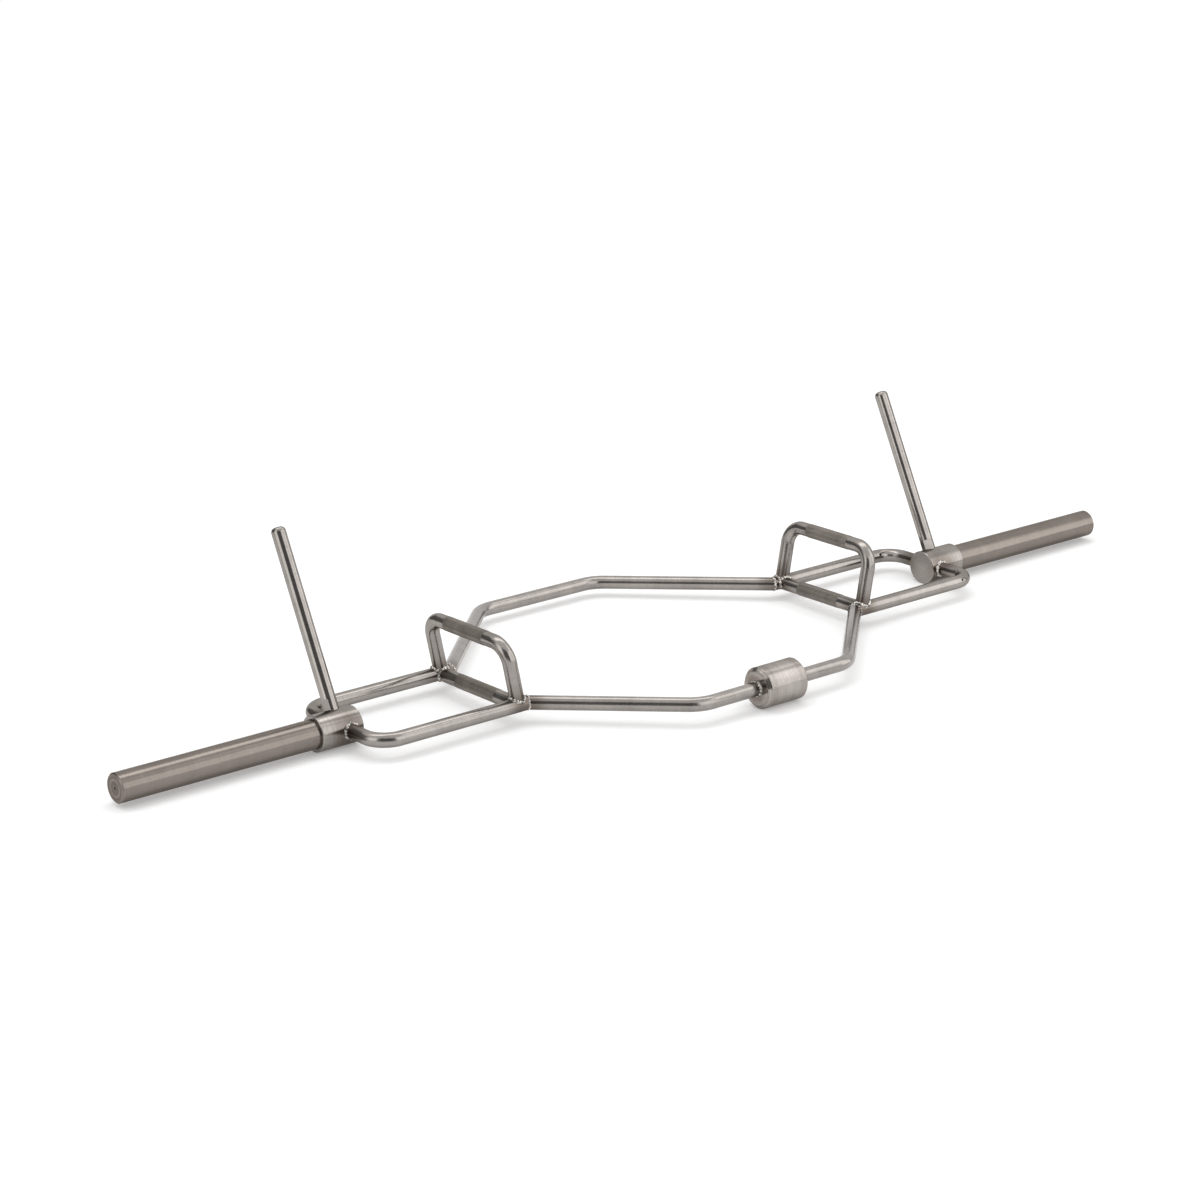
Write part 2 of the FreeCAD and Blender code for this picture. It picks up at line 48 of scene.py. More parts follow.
CORNER_X = GRIP_X - CORNER_SETBACK
DIAGONAL_ANGLE = math.radians(44)
FRONT_DEPTH = 310.0
REAR_DEPTH = 343.0
WEIGHT_RADIUS = 36.0
WEIGHT_LENGTH = 90.0
WEIGHT_END = WEIGHT_LENGTH / 2
HANDLE_HEIGHT = 107.0
HANDLE_REACH = 21.5
HANDLE_LEAN = math.atan(HANDLE_REACH / HANDLE_HEIGHT)
HANDLE_INSET = 2.0
HANDLE_Y = RAIL_Y - HANDLE_INSET
KNURL_LENGTH = 106.0
KNURL_RADIUS = 12.7
LEVER_LEAN = math.radians(26)

# How the bar lies on the floor: on its collars and its fatter counterweight
REST_TILT = math.asin((WEIGHT_RADIUS - COLLAR_RADIUS) / FRONT_DEPTH)
FRONT_REACH = FRONT_DEPTH * math.cos(REST_TILT) + WEIGHT_RADIUS
REAR_REACH = REAR_DEPTH * math.cos(REST_TILT) + TUBE_RADIUS
REST_SHIFT = (FRONT_REACH - REAR_REACH) / 2
REST = Matrix.Translation((0, REST_SHIFT, COLLAR_RADIUS)) @ Matrix.Rotation(-REST_TILT, 4, "X")
SIDES = {"right": 1, "left": -1}
ENDS = {"front": -1, "rear": 1}

SEED = 4705


# Meshes
def mesh_piece(name, points, faces, material, place=REST):
    """A piece of the frame, from points in millimetres before the bar is laid down."""
    mesh = bpy.data.meshes.new(name)
    mesh.from_pydata([place @ Vector(point) * MM for point in points], [], faces)
    mesh.validate()
    mesh.materials.append(material)
    piece = bpy.data.objects.new(name, mesh)
    bpy.context.scene.collection.objects.link(piece)
    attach(piece, "frame")
    return piece


# The knurl lies over the plain band of the solids, and its rim dips into that band
KNURL_COLUMNS = 112
KNURL_ROWS = 112
KNURL_CLEARANCE = 0.03
KNURL_DEPTH = 0.25
KNURL_RIM = 0.1
KNURL_WEAR_SHARE = 0.45
KNURL_GROOVE = KNURL_RADIUS + KNURL_CLEARANCE
KNURL_INSIDE = KNURL_RADIUS - KNURL_RIM
KNURL_END = KNURL_LENGTH / 2 + KNURL_RIM


def knurl_band(name, place, material, rng):
    """A closed band of pyramids, their tips rubbed down unevenly, between two sets of crossing grooves,
    about the Y axis.
    """
    points = []
    faces = []

    def ring(radii, y):
        start = len(points)
        for column, radius in enumerate(radii):
            angle = 2 * math.pi * column / KNURL_COLUMNS
            points.append((radius * math.cos(angle), y, radius * math.sin(angle)))
        return range(start, len(points))

    rim = [KNURL_INSIDE] * KNURL_COLUMNS
    rings = [ring(rim, -KNURL_END)]
    for row in range(KNURL_ROWS + 1):
        radii = [KNURL_GROOVE] * KNURL_COLUMNS
        if 0 < row < KNURL_ROWS:
            for column in range((row + 1) % 2, KNURL_COLUMNS, 2):
                radii[column] += KNURL_DEPTH * (1 - rng.uniform(0, KNURL_WEAR_SHARE))
        rings.append(ring(radii, -KNURL_END + 2 * KNURL_END * row / KNURL_ROWS))
    rings.append(ring(rim, KNURL_END))
    rings.append(rings[0])
    for row, (low, high) in enumerate(zip(rings, rings[1:])):
        for column in range(KNURL_COLUMNS):
            after = (column + 1) % KNURL_COLUMNS
            corners = [low[column], high[column], high[after], low[after]]
            if 0 < row <= KNURL_ROWS:
                turned = (row - 1 + column) % 2
                first, second, third, fourth = corners[turned:] + corners[:turned]
                faces += [(first, second, third), (first, third, fourth)]
            else:
                faces.append(corners)
    mesh_piece(name, points, faces, material, place)


BEAD_RADIUS = 5.2
MITRE_BEAD_SHARE = 0.58
BEAD_SINK = 1.8
BEAD_CREST = 2.0
BEAD_SECTION = 14
BEAD_WANDER_SHARE = 0.20
RIPPLE_PITCH = 5.2
RIPPLE_STEPS = 9
FEWEST_RIPPLES = 3
RIPPLE_SHARE = 0.42
RIPPLE_BOW = 0.35
RIPPLE_POWER = 0.7
TAPER_SHARE = 0.06
TAPER_POWER = 6


def resample(path, closed):
    """Even steps along a path of points and outward directions, with the share of the way at each."""
    loop = path + path[:1] if closed else path
    lengths = [0.0]
    for (start, _), (stop, _) in zip(loop, loop[1:]):
        lengths.append(lengths[-1] + (stop - start).length)
    ripples = max(FEWEST_RIPPLES, round(lengths[-1] / RIPPLE_PITCH))
    count = ripples * RIPPLE_STEPS
    stations = []
    index = 0
    for step in range(count if closed else count + 1):
        share = step / count
        target = share * lengths[-1]
        while index < len(lengths) - 2 and lengths[index + 1] < target:
            index += 1
        span = lengths[index + 1] - lengths[index]
        mix = (target - lengths[index]) / span if span else 0.0
        point = loop[index][0].lerp(loop[index + 1][0], mix)
        outward = loop[index][1].lerp(loop[index + 1][1], mix).normalized()
        stations.append((point, outward, share))
    return stations, ripples


def bead(points, faces, path, closed, radius, rng):
    """Adds a rippled bead along a path; its ripples bow the way that the torch went."""
    stations, ripples = resample(path, closed)
    sizes = [1 + rng.uniform(-BEAD_WANDER_SHARE, BEAD_WANDER_SHARE) for _ in range(ripples + 2)]
    start = len(points)
    count = len(stations)
    for index, (point, outward, share) in enumerate(stations):
        before = stations[index - 1 if closed or index else 0][0]
        after = stations[(index + 1) % count if closed else min(index + 1, count - 1)][0]
        along = (after - before).normalized()
        outward = (outward - along * outward.dot(along)).normalized()
        across = along.cross(outward)
        fullness = 1.0 if closed else max(TAPER_SHARE, 1 - abs(2 * share - 1) ** TAPER_POWER)
        for corner in range(BEAD_SECTION):
            angle = 2 * math.pi * corner / BEAD_SECTION
            phase = share * ripples + RIPPLE_BOW * math.cos(angle) + 1
            which = int(phase)
            hump = abs(math.sin(math.pi * (phase - which))) ** RIPPLE_POWER
            size = radius * math.sqrt(fullness) * sizes[which % (ripples if closed else len(sizes))]
            size *= 1 - RIPPLE_SHARE + RIPPLE_SHARE * hump
            offset = outward * math.cos(angle) + across * math.sin(angle)
            points.append(point - outward * BEAD_SINK + offset * size)
    for index in range(count if closed else count - 1):
        here = start + index * BEAD_SECTION
        there = start + (index + 1) % count * BEAD_SECTION
        for corner in range(BEAD_SECTION):
            after = (corner + 1) % BEAD_SECTION
            faces.append((here + corner, here + after, there + after, there + corner))
    if not closed:
        last = start + (count - 1) * BEAD_SECTION
        faces.append([start + corner for corner in reversed(range(BEAD_SECTION))])
        faces.append([last + corner for corner in range(BEAD_SECTION)])


def weld_piece(node, paths, material, rng):
    """Beads that stand for one of the solid weld nodes."""
    points = []
    faces = []
    for path, closed, radius in paths:
        bead(points, faces, path, closed, radius, rng)
    piece = mesh_piece(node + "_bead", points, faces, material)
    for polygon in piece.data.polygons:
        polygon.use_smooth = True
    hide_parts(node)


# Paths of the beads, drawn at the right rear corner and mirrored to the others
PATH_STEPS = 180
CROTCH_REACH = math.radians(58)
HALVINGS = 30


def round_angles():
    return [-math.pi + 2 * math.pi * step / PATH_STEPS for step in range(PATH_STEPS)]


def crotch_angles():
    last = PATH_STEPS // 2 - 1
    return [-CROTCH_REACH + 2 * CROTCH_REACH * step / last for step in range(last + 1)]


def mirrored(path, side_x, side_y):
    flip = Vector((side_x, side_y, 1))
    return [(point * flip, outward * flip) for point, outward in path]


def collar_path(side_x, side_y):
    """Round the end of a rail on the flank of its collar."""
    path = []
    for angle in round_angles():
        x = TUBE_RADIUS * math.cos(angle)
        z = TUBE_RADIUS * math.sin(angle)
        y = math.sqrt(COLLAR_RADIUS ** 2 - z ** 2)
        rail_normal = Vector((math.cos(angle), 0, math.sin(angle)))
        collar_normal = Vector((0, y, z)) / COLLAR_RADIUS
        path.append((Vector((RAIL_X + x, y, z)), (rail_normal + collar_normal).normalized()))
    return mirrored(path, side_x, side_y)


def crotch_path(side_x, side_y, flank):
    """Up one side of the joint of a low grip and a rail."""
    path = []
    for angle in crotch_angles():
        out = TUBE_RADIUS * math.cos(angle)
        z = TUBE_RADIUS * math.sin(angle)
        grip_normal = Vector((flank * math.cos(angle), 0, math.sin(angle)))
        rail_normal = Vector((0, -math.cos(angle), math.sin(angle)))
        point = Vector((GRIP_X + flank * out, RAIL_Y - out, z))
        path.append((point, (grip_normal + rail_normal).normalized()))
    return mirrored(path, side_x, side_y)


def within_tubes(point):
    """Whether a point lies in the rail, and whether it lies in the low grip."""
    in_rail = math.hypot(point.y - RAIL_Y, point.z) < TUBE_RADIUS
    in_grip = point.y < RAIL_Y and math.hypot(point.x - GRIP_X, point.z) < TUBE_RADIUS
    return in_rail, in_grip


def foot_path(side_x, side_y):
    """Round the foot of a raised handle's leg, where it stands on the rail and the low grip."""
    up = Vector((math.sin(HANDLE_LEAN), 0, math.cos(HANDLE_LEAN)))
    level = Vector((math.cos(HANDLE_LEAN), 0, -math.sin(HANDLE_LEAN)))
    foot = Vector((GRIP_X, HANDLE_Y, 0))
    path = []
    for angle in round_angles():
        leg_normal = level * math.cos(angle) + Vector((0, math.sin(angle), 0))
        base = foot + leg_normal * TUBE_RADIUS
        low = 0.0
        high = 2 * TUBE_RADIUS
        for _ in range(HALVINGS):
            middle = (low + high) / 2
            if any(within_tubes(base + up * middle)):
                low = middle
            else:
                high = middle
        point = base + up * low
        on_rail, on_grip = within_tubes(point)
        rail_normal = Vector((0, point.y - RAIL_Y, point.z)) / TUBE_RADIUS
        grip_normal = Vector((point.x - GRIP_X, 0, point.z)) / TUBE_RADIUS
        base_normal = rail_normal if on_rail and not on_grip else grip_normal
        path.append((point, (leg_normal + base_normal).normalized()))
    return mirrored(path, side_x, side_y)


def mitre_path(side_x, side_y):
    """Round the mitre of a rail and a diagonal."""
    half = DIAGONAL_ANGLE / 2
    flat = Vector((math.sin(half), math.cos(half), 0))
    centre = Vector((CORNER_X, RAIL_Y, 0))
    path = []
    for angle in round_angles():
        long_axis = flat * (TUBE_RADIUS / math.cos(half) * math.cos(angle))
        short_axis = Vector((0, 0, TUBE_RADIUS * math.sin(angle)))
        outward = flat * math.cos(angle) + Vector((0, 0, math.sin(angle)))
        path.append((centre + long_axis + short_axis, outward.normalized()))
    return mirrored(path, side_x, side_y)


def weight_path(side_x):
    """Round the front tube at one end of the counterweight."""
    centre = Vector((side_x * WEIGHT_END, -FRONT_DEPTH, 0))
    path = []
    for angle in round_angles():
        radial = Vector((0, math.cos(angle), math.sin(angle)))
        outward = (radial + Vector((side_x, 0, 0))).normalized()
        path.append((centre + radial * TUBE_RADIUS, outward))
    return path


# Colours
def shade(colour, share):
    return tuple(channel * share for channel in colour)


def tint(colour, shares):
    return tuple(channel * share for channel, share in zip(colour, shares))


# Shader nodes
def add(tree, kind, inputs=None, **settings):
    """A node with its settings; an input is a value or another node's output."""
    node = tree.nodes.new(kind)
    for name, value in settings.items():
        setattr(node, name, value)
    for name, value in (inputs or {}).items():
        if isinstance(value, bpy.types.NodeSocket):
            tree.links.new(value, node.inputs[name])
        else:
            node.inputs[name].default_value = value
    return node


def new_material(name):
    material = bpy.data.materials.new(name)
    material.use_nodes = True
    material.node_tree.nodes.clear()
    return material, material.node_tree


def to_surface(tree, shader):
    add(tree, "ShaderNodeOutputMaterial", {"Surface": shader.outputs[0]})


def maths(tree, operation, first, second=0.0, third=0.0):
    node = add(tree, "ShaderNodeMath", {0: first, 1: second, 2: third}, operation=operation)
    return node.outputs[0]


def vectors(tree, operation, first, second=(0, 0, 0)):
    return add(tree, "ShaderNodeVectorMath", {0: first, 1: second}, operation=operation)


def dot(tree, first, second):
    return vectors(tree, "DOT_PRODUCT", first, second).outputs["Value"]


def noise(tree, place, scale, detail):
    node = add(tree, "ShaderNodeTexNoise", {"Vector": place, "Scale": scale, "Detail": detail})
    return node.outputs["Fac"]


def remap(tree, value, source, target, **settings):
    """Carries a value from one range over to another, and stops at the ends."""
    node = add(tree, "ShaderNodeMapRange", {
        "Value": value, "From Min": source[0], "From Max": source[1],
        "To Min": target[0], "To Max": target[1]}, **settings)
    return node.outputs["Result"]


def ramp(tree, factor, limits, colours):
    node = add(tree, "ShaderNodeValToRGB", {"Fac": factor})
    for element, position, colour in zip(node.color_ramp.elements, limits, colours):
        element.position = position
        element.color = (*colour, 1.0)
    return node.outputs["Color"]


def varied(tree, factor, limits, colour, contrast):
    """A colour made darker and lighter by a share."""
    return ramp(tree, factor, limits, (shade(colour, 1 - contrast), shade(colour, 1 + contrast)))


def mixed(tree, factor, first, second):
    """From a colour socket to a plain colour or another colour socket."""
    node = add(tree, "ShaderNodeMix", {"Factor": factor}, data_type="RGBA")
    for name, value in (("A", first), ("B", second)):
        socket = [item for item in node.inputs if item.name == name and item.type == "RGBA"][0]
        if isinstance(value, bpy.types.NodeSocket):
            tree.links.new(value, socket)
        else:
            socket.default_value = (*value, 1.0)
    return [item for item in node.outputs if item.type == "RGBA"][0]


# Features of the steel, in metres as the shaders see them
def along_runs(tree, place, run):
    """Distance along a piece: its main run, and a second run past a limit, where it bends."""
    folded = vectors(tree, "ABSOLUTE", place).outputs["Vector"]
    main = dot(tree, folded, run["main"])
    if "second" not in run:
        return main
    past = maths(tree, "GREATER_THAN", dot(tree, folded, run["across"]), run["limit"])
    step = maths(tree, "SUBTRACT", dot(tree, folded, run["second"]), main)
    return maths(tree, "MULTIPLY_ADD", past, step, main)


END_FACING = 0.6


def rings_on_ends(tree, place, distance, run):
    """On a turned piece's end faces the tool's marks are rings about its axis; it also gives the centre
    mark's disc, where shade is painted.
    """
    normal = add(tree, "ShaderNodeNewGeometry").outputs["Normal"]
    facing = maths(tree, "ABSOLUTE", dot(tree, normal, run["main"]))
    is_end = maths(tree, "GREATER_THAN", facing, END_FACING)
    from_axis = vectors(tree, "SUBTRACT", place, run["axis"]).outputs["Vector"]
    square = vectors(tree, "CROSS_PRODUCT", from_axis, run["main"]).outputs["Vector"]
    radius = vectors(tree, "LENGTH", square).outputs["Value"]
    marked = maths(tree, "MULTIPLY_ADD", is_end, maths(tree, "SUBTRACT", radius, distance), distance)
    centre_shade_mask = maths(tree, "MULTIPLY", is_end, maths(tree, "LESS_THAN", radius, run["centre"] * MM))
    return marked, is_end, centre_shade_mask


def streaks(tree, place, distance, fine, coarse, detail):
    """Noise drawn out square to the run: fine along it, coarse round it."""
    drawn = add(tree, "ShaderNodeCombineXYZ", {"X": maths(tree, "MULTIPLY", distance, fine)})
    wide = add(tree, "ShaderNodeVectorMath", {0: place, "Scale": coarse}, operation="SCALE")
    where = vectors(tree, "ADD", drawn.outputs[0], wide.outputs["Vector"]).outputs["Vector"]
    return noise(tree, where, 1.0, detail)


# Where the welds sit, in metres from the middle of the sleeves' axis, with all signs dropped
FRAME_WELDS = (
    (RAIL_X * MM, (COLLAR_RADIUS + BEAD_CREST) * MM, COLLAR_RADIUS * MM),
    ((GRIP_X + CORNER_X) / 2 * MM, RAIL_Y * MM, COLLAR_RADIUS * MM),
)
WEIGHT_WELD = (WEIGHT_END * MM, FRONT_DEPTH * MM, WEIGHT_RADIUS * MM)
ALL_WELDS = (*FRAME_WELDS, WEIGHT_WELD)
HEAT_REACH = (0.016, 0.050)


def heat_near_welds(tree, place, welds):
    """One beside a weld, falling to nothing a few centimetres away."""
    shifted = vectors(tree, "SUBTRACT", place, (0.0, REST_SHIFT * MM, 0.0)).outputs["Vector"]
    folded = vectors(tree, "ABSOLUTE", shifted).outputs["Vector"]
    nearest = None
    for weld in welds:
        gap = vectors(tree, "DISTANCE", folded, weld).outputs["Value"]
        nearest = gap if nearest is None else maths(tree, "MINIMUM", nearest, gap)
    return remap(tree, nearest, HEAT_REACH, (1.0, 0.0), interpolation_type="SMOOTHSTEP")


EDGE_RADIUS = 0.0009
EDGE_SAMPLES = 4
EDGE_TURN = (0.995, 0.90)


def edges(tree):
    """The normal rounded over at edges, and how much it turns there."""
    rounded = add(tree, "ShaderNodeBevel", {"Radius": EDGE_RADIUS}, samples=EDGE_SAMPLES)
    plain = add(tree, "ShaderNodeNewGeometry").outputs["Normal"]
    agree = dot(tree, rounded.outputs["Normal"], plain)
    return rounded.outputs["Normal"], remap(tree, agree, EDGE_TURN, (0.0, 1.0))


# Scales of the noise are per metre; each range is the part of the noise that is used
NOISE_RANGE = (0.3, 0.7)
TONE_RANGE = (0.36, 0.64)
RING_RANGE = (0.42, 0.58)
MARK_WIDTH_SCALE = 30.0
MARK_DETAIL = 3.0
MARK_DEPTH = 0.0002
BAND_WIDTH_SCALE = 8.0
BAND_DETAIL = 2.0
RING_SCALE = 260.0
RING_WIDTH_SCALE = 2.0
RING_DETAIL = 1.0
MOTTLE_SCALE = 28.0
MOTTLE_DETAIL = 5.0
SPECKLE_SCALE = 420.0
SPECKLE_DETAIL = 2.0

# Shares of the tone: bands and mottle take the coarse one, marks and speckle a fine one each
COARSE_SHARE = 0.6
FINE_SHARE = 0.2

HEAT_TINT = (0.42, 0.37, 0.33)
HEAT_SHARES = (0.55, 1.0)
# Edges are made lighter for wear and as a painted highlight on the chamfers
EDGE_WEAR_AND_PAINTED_HIGHLIGHT = 2.1
EDGE_WEAR_AND_HIGHLIGHT_SHARES = (0.3, 0.9)
# Painted shade in the hollow of a turned end's centre mark
CENTRE_PAINTED_SHADE = 0.25
ACROSS_MARKS = 0.25


def steel_grain(tree, place, distance, look):
    """The tool's marks, a soft mottle, a fine speckle, and the tone that they make together."""
    marks = streaks(tree, place, distance, look["mark_scale"], MARK_WIDTH_SCALE, MARK_DETAIL)
    bands = streaks(tree, place, distance, look["band_scale"], BAND_WIDTH_SCALE, BAND_DETAIL)
    mottle = noise(tree, place, MOTTLE_SCALE, MOTTLE_DETAIL)
    speckle = noise(tree, place, SPECKLE_SCALE, SPECKLE_DETAIL)
    soft = maths(tree, "MULTIPLY", mottle, COARSE_SHARE - look["band_share"])
    coarse = maths(tree, "MULTIPLY_ADD", bands, look["band_share"], soft)
    tone = maths(tree, "MULTIPLY_ADD", maths(tree, "ADD", speckle, marks), FINE_SHARE, coarse)
    return marks, mottle, speckle, tone


def steel(name, run, look):
    """Bare steel: fine marks along its run, a soft mottle, edges made lighter for wear and as a painted
    highlight, a tint beside welds, and painted shade on turned ends.
    """
    material, tree = new_material(name)
    place = add(tree, "ShaderNodeTexCoord").outputs["Object"]
    distance = along_runs(tree, place, run)
    is_turned = "axis" in run
    if is_turned:
        distance, is_end, centre_shade_mask = rings_on_ends(tree, place, distance, run)
    marks, mottle, speckle, tone = steel_grain(tree, place, distance, look)
    colour = varied(tree, tone, TONE_RANGE, look["colour"], look["contrast"])

    patches = remap(tree, mottle, NOISE_RANGE, HEAT_SHARES)
    near_welds = heat_near_welds(tree, place, run.get("welds", ALL_WELDS))
    heat = maths(tree, "MULTIPLY", near_welds, patches)
    colour = mixed(tree, heat, colour, tint(look["colour"], HEAT_TINT))
    if is_turned:
        rings = streaks(tree, place, distance, RING_SCALE, RING_WIDTH_SCALE, RING_DETAIL)
        # End faces: tool rings, and a painted shade that darkens the sleeves' ends
        shaded_ringed_end = varied(tree, rings, RING_RANGE, shade(look["colour"], run["end_painted_shade"]), run["rings"])
        unheated = maths(tree, "SUBTRACT", 1.0, heat)
        colour = mixed(tree, maths(tree, "MULTIPLY", is_end, unheated), colour, shaded_ringed_end)
        # Painted shade in the centre mark's hollow
        colour = mixed(tree, centre_shade_mask, colour, shade(look["colour"], CENTRE_PAINTED_SHADE))

    bump = {"Height": marks, "Strength": look["bump"], "Distance": MARK_DEPTH}
    # Wear and painted highlight: the colour is made lighter where the edges turn
    if look["edges"]:
        bump["Normal"], turn = edges(tree)
        wear_and_highlight = maths(tree, "MULTIPLY", turn, remap(tree, speckle, NOISE_RANGE, EDGE_WEAR_AND_HIGHLIGHT_SHARES))
        colour = mixed(tree, wear_and_highlight, colour, shade(look["colour"], EDGE_WEAR_AND_PAINTED_HIGHLIGHT))

    middle = maths(tree, "DIVIDE", maths(tree, "ADD", marks, mottle), 2.0)
    rough_range = (look["roughness"] - look["rough_spread"], look["roughness"] + look["rough_spread"])
    rough = remap(tree, middle, NOISE_RANGE, rough_range)
    if is_turned:
        rough = maths(tree, "MULTIPLY_ADD", is_end, run["end_rough"], rough)

    inputs = {
        "Base Color": colour,
        "Metallic": 1.0,
        "Roughness": rough,
        "Specular Tint": (*look["rim"], 1.0),
        "Normal": add(tree, "ShaderNodeBump", bump).outputs["Normal"],
    }
    if look["anisotropy"]:
        tangent = add(tree, "ShaderNodeTangent", direction_type="RADIAL", axis=run["spin"])
        inputs["Anisotropic"] = look["anisotropy"]
        inputs["Anisotropic Rotation"] = ACROSS_MARKS
        inputs["Tangent"] = tangent.outputs[0]
    shader = add(tree, "ShaderNodeBsdfPrincipled", inputs)
    to_surface(tree, shader)
    return material


BEAD_COLOUR = (0.70, 0.66, 0.62)
BEAD_DARK_SHADE = 0.22
BEAD_PATCH_SCALE = 190.0
BEAD_PATCH_DETAIL = 4.0
BEAD_PATCH_RANGE = (0.40, 0.60)
BEAD_ROUGHNESS = (0.36, 0.16)
BEAD_GRAIN_SCALE = 1500.0
BEAD_GRAIN_DETAIL = 2.0
BEAD_BUMP = 0.25


def weld_steel(name):
    """Bright bead with dark, rougher patches where the heat stayed."""
    material, tree = new_material(name)
    place = add(tree, "ShaderNodeTexCoord").outputs["Object"]
    patches = noise(tree, place, BEAD_PATCH_SCALE, BEAD_PATCH_DETAIL)
    grain = noise(tree, place, BEAD_GRAIN_SCALE, BEAD_GRAIN_DETAIL)
    bump = add(tree, "ShaderNodeBump", {"Height": grain, "Strength": BEAD_BUMP, "Distance": MARK_DEPTH})
    colours = (shade(BEAD_COLOUR, BEAD_DARK_SHADE), BEAD_COLOUR)
    shader = add(tree, "ShaderNodeBsdfPrincipled", {
        "Base Color": ramp(tree, patches, BEAD_PATCH_RANGE, colours),
        "Metallic": 1.0,
        "Roughness": remap(tree, patches, NOISE_RANGE, BEAD_ROUGHNESS),
        "Normal": bump.outputs["Normal"],
    })
    to_surface(tree, shader)
    return material


# Looks of the steel; a dull rim keeps the tubes' outlines dark against the floor
STEEL = (0.316, 0.292, 0.273)
DULL_RIM = (0.60, 0.58, 0.56)
PLAIN_RIM = (1.0, 1.0, 1.0)
BAR_SHARES = (0.69, 0.655, 0.625)
KNURL_PAINTED_SHADE_SHARES = (0.70, 0.68, 0.65)
TUBE_SHADE = 0.98
WEIGHT_SHADE = 1.2
TURNED = {
    "colour": STEEL, "rim": DULL_RIM, "contrast": 0.18, "edges": True, "bump": 0.04,
    "roughness": 0.24, "rough_spread": 0.04, "anisotropy": 0.66,
    "mark_scale": 1900.0, "band_scale": 420.0, "band_share": 0.45,
}
BAR = {
    **TURNED, "colour": tint(STEEL, BAR_SHARES), "contrast": 0.13, "band_scale": 700.0, "band_share": 0.25,
}
WEIGHT = {**TURNED, "colour": shade(STEEL, WEIGHT_SHADE)}
TUBE = {
    "colour": shade(STEEL, TUBE_SHADE), "rim": DULL_RIM, "contrast": 0.16, "edges": True, "bump": 0.03,
    "roughness": 0.21, "rough_spread": 0.05, "anisotropy": 0.0,
    "mark_scale": 2300.0, "band_scale": 90.0, "band_share": 0.2,
}
HEX_TUBE = {**TUBE, "rim": PLAIN_RIM}
LEVER = {**TUBE, "roughness": 0.14, "mark_scale": 420.0, "bump": 0.01}
# The knurl's darker colour is painted shade for its grooves
KNURLED = {
    "colour": tint(STEEL, KNURL_PAINTED_SHADE_SHARES), "rim": DULL_RIM, "contrast": 0.30, "edges": False, "bump": 0.03,
    "roughness": 0.34, "rough_spread": 0.05, "anisotropy": 0.0,
    "mark_scale": 700.0, "band_scale": 60.0, "band_share": 0.2,
}

# Runs of the pieces: which way their marks go, where they bend, and what their turned ends are like
ALONG_X = (1.0, 0.0, 0.0)
ALONG_Y = (0.0, 1.0, 0.0)
UP = (0.0, 0.0, 1.0)
UP_LEVER = (0.0, math.sin(LEVER_LEAN + REST_TILT), math.cos(LEVER_LEAN + REST_TILT))
UP_HANDLE = (math.sin(HANDLE_LEAN), 0.0, math.cos(HANDLE_LEAN))
ALONG_DIAGONAL = (math.cos(DIAGONAL_ANGLE), -math.sin(DIAGONAL_ANGLE), 0.0)
SLEEVE_AXIS = (0.0, REST_SHIFT * MM, COLLAR_RADIUS * MM)
WEIGHT_AXIS = tuple(REST @ Vector((0, -FRONT_DEPTH, 0)) * MM)
# Radius of the centre mark, which is darkened as painted shade
CENTRE_MARK = 3.0
RAIL_TURN = 12.0
HANDLE_TURN = 20.0
ON_SLEEVE_AXIS = {"main": ALONG_X, "axis": SLEEVE_AXIS, "spin": "X"}
ON_WEIGHT_AXIS = {"main": ALONG_X, "axis": WEIGHT_AXIS, "spin": "X"}
# The sleeves' end faces are darkened as painted shade; collar and counterweight ends keep their colour
SLEEVE_RUN = {**ON_SLEEVE_AXIS, "centre": CENTRE_MARK, "end_painted_shade": 0.9, "end_rough": 0.12, "rings": 0.28}
COLLAR_RUN = {**ON_SLEEVE_AXIS, "centre": 0.0, "end_painted_shade": 1.0, "end_rough": 0.06, "rings": 0.06}
WEIGHT_RUN = {**ON_WEIGHT_AXIS, "centre": 0.0, "end_painted_shade": 1.0, "end_rough": -0.05, "rings": 0.22}
LEVER_RUN = {"main": UP_LEVER}
GRIP_RUN = {"main": ALONG_Y}
RAIL_RUN = {"main": ALONG_X, "second": ALONG_Y, "across": ALONG_X, "limit": (RAIL_X - RAIL_TURN) * MM}
HANDLE_RUN = {
    "main": UP_HANDLE, "second": ALONG_Y, "across": UP,
    "limit": (COLLAR_RADIUS + HANDLE_HEIGHT - HANDLE_TURN) * MM,
}


def hex_run(depth):
    """The straight run of a half of the hexagon and, past its bends, the diagonals."""
    bend_x = CORNER_X - (depth - RAIL_Y) / math.tan(DIAGONAL_ANGLE)
    return {
        "main": ALONG_X, "second": ALONG_DIAGONAL, "across": ALONG_X, "limit": bend_x * MM,
        "welds": FRAME_WELDS,
    }


bar_steel = steel("turned_bar_steel", SLEEVE_RUN, BAR)
collar_steel = steel("turned_collar_steel", COLLAR_RUN, TURNED)
counterweight_steel = steel("turned_weight_steel", WEIGHT_RUN, WEIGHT)
lever_steel = steel("lever_steel", LEVER_RUN, LEVER)
grip_steel = steel("grip_tube_steel", GRIP_RUN, TUBE)
rail_steel = steel("rail_tube_steel", RAIL_RUN, TUBE)
handle_steel = steel("handle_tube_steel", HANDLE_RUN, TUBE)
front_steel = steel("front_hex_tube_steel", hex_run(FRONT_DEPTH), HEX_TUBE)
rear_steel = steel("rear_hex_tube_steel", hex_run(REAR_DEPTH), HEX_TUBE)
knurled_steel = steel("knurled_steel", GRIP_RUN, KNURLED)
bead_steel = weld_steel("weld_bead_steel")


# Materials of the nodes that stay as they are
def dress(node, material):
    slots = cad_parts[node].data.materials
    slots.clear()
    slots.append(material)


